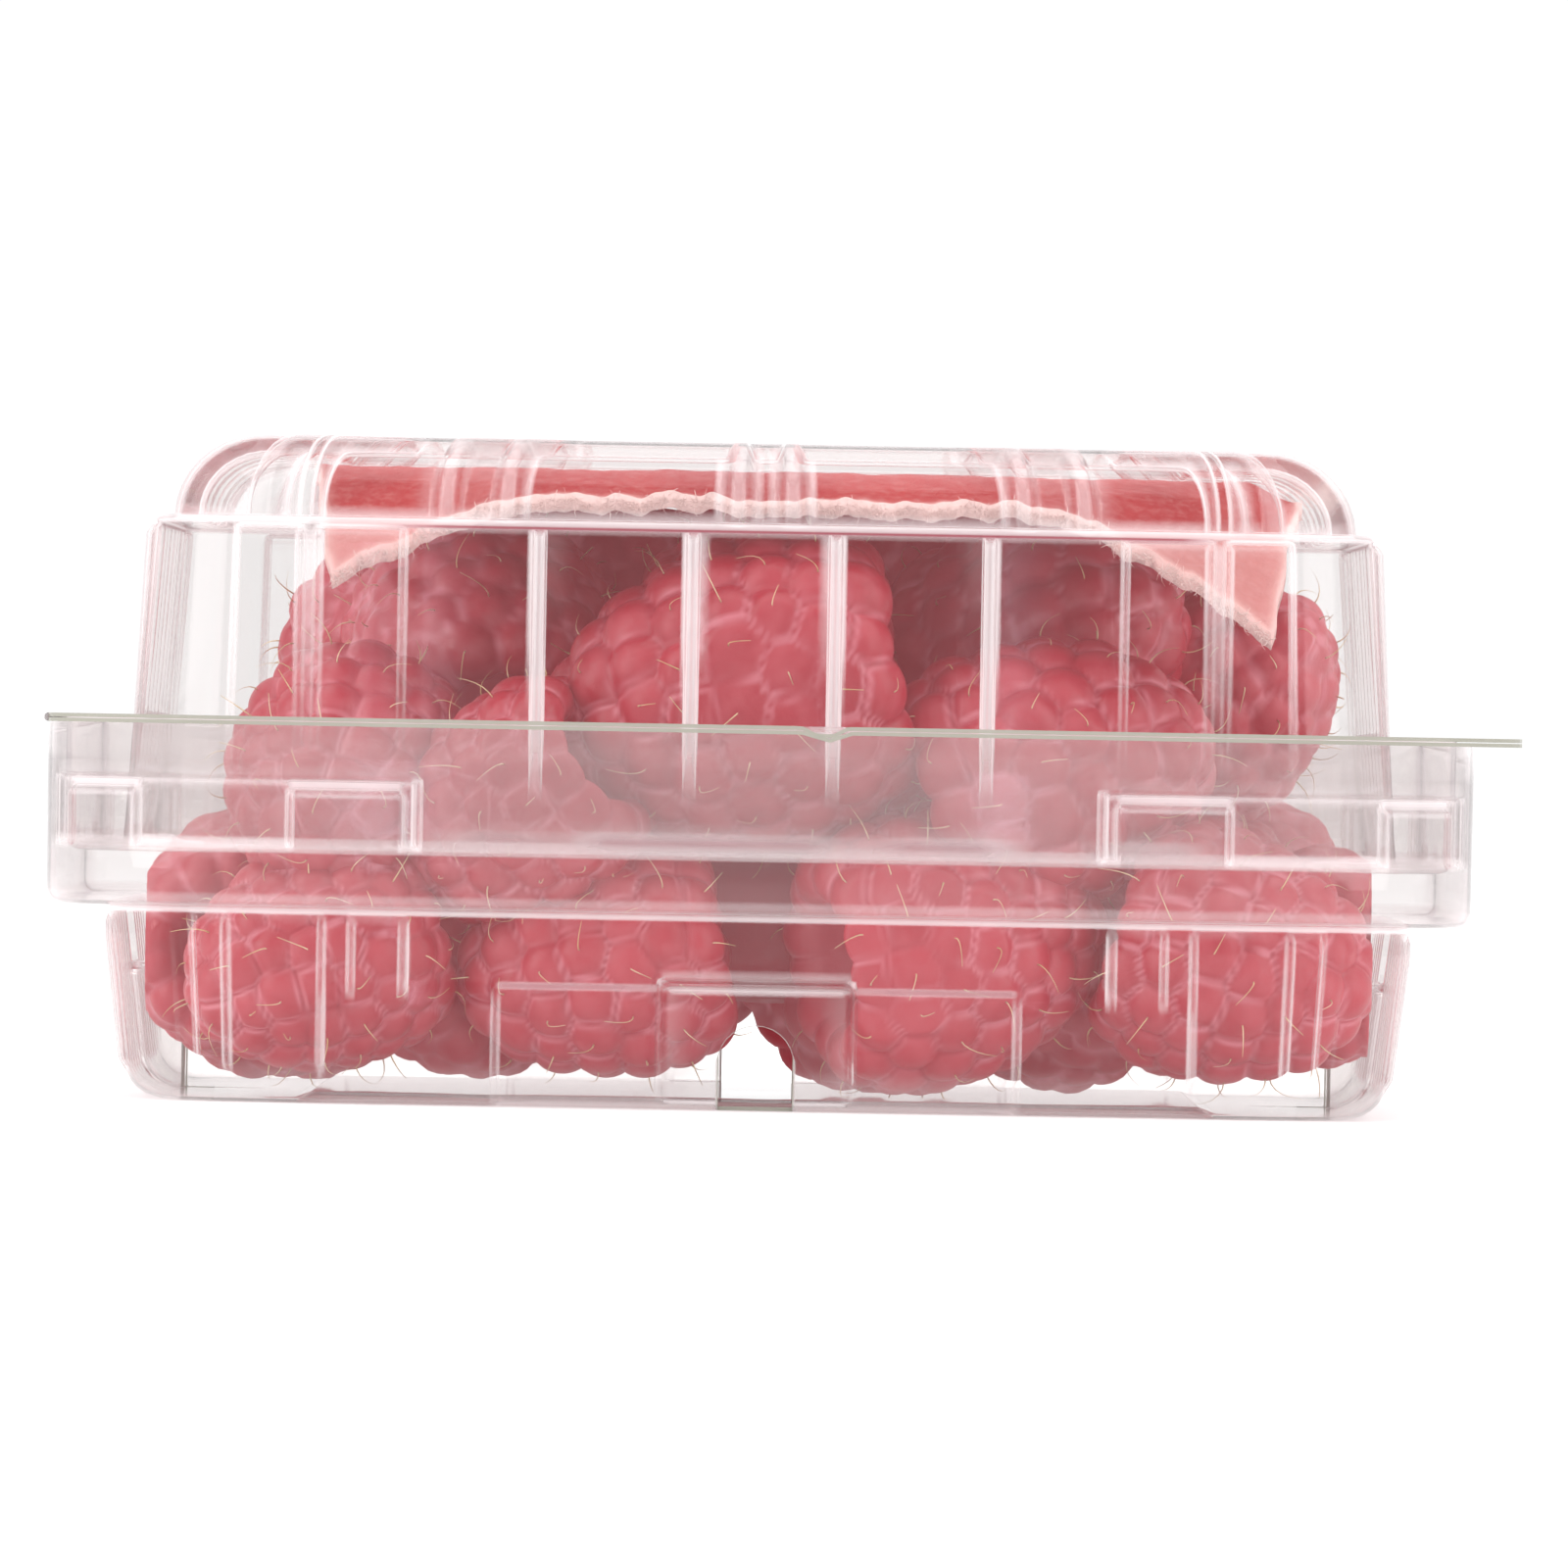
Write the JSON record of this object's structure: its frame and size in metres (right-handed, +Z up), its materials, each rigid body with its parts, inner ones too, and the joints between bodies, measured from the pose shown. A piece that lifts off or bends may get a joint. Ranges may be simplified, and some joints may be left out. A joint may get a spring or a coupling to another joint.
{
  "type": "raspberry punnet",
  "caption": "Clear hinged plastic punnet filled with raspberries, with a pink absorbent pad under its top plate.",
  "frame": {"origin": "bottom centre of the closed punnet's bounding box, opening lip and flange included", "axes": "+Z up, +X towards the opening lip, +Y away from the short side that the picture shows"},
  "size_m": [0.0974, 0.12, 0.044],
  "materials": {
    "clear_plastic": "clear thermoformed sheet",
    "pink_paper": "matte fibrous",
    "berry": "soft satin"
  },
  "bodies": {
    "lower": {"lower_shell": "clear_plastic", "raspberries": "berry"},
    "upper": {"upper_shell": "clear_plastic", "absorbent_pad": "pink_paper"}
  },
  "joints": [
    {"name": "shell_hinge", "type": "hinge", "parent": "lower", "child": "upper", "pos_m": [-0.04865, 0, 0.0251], "axis": [0, -1, 0], "range_deg": [0, 180]}
  ]
}
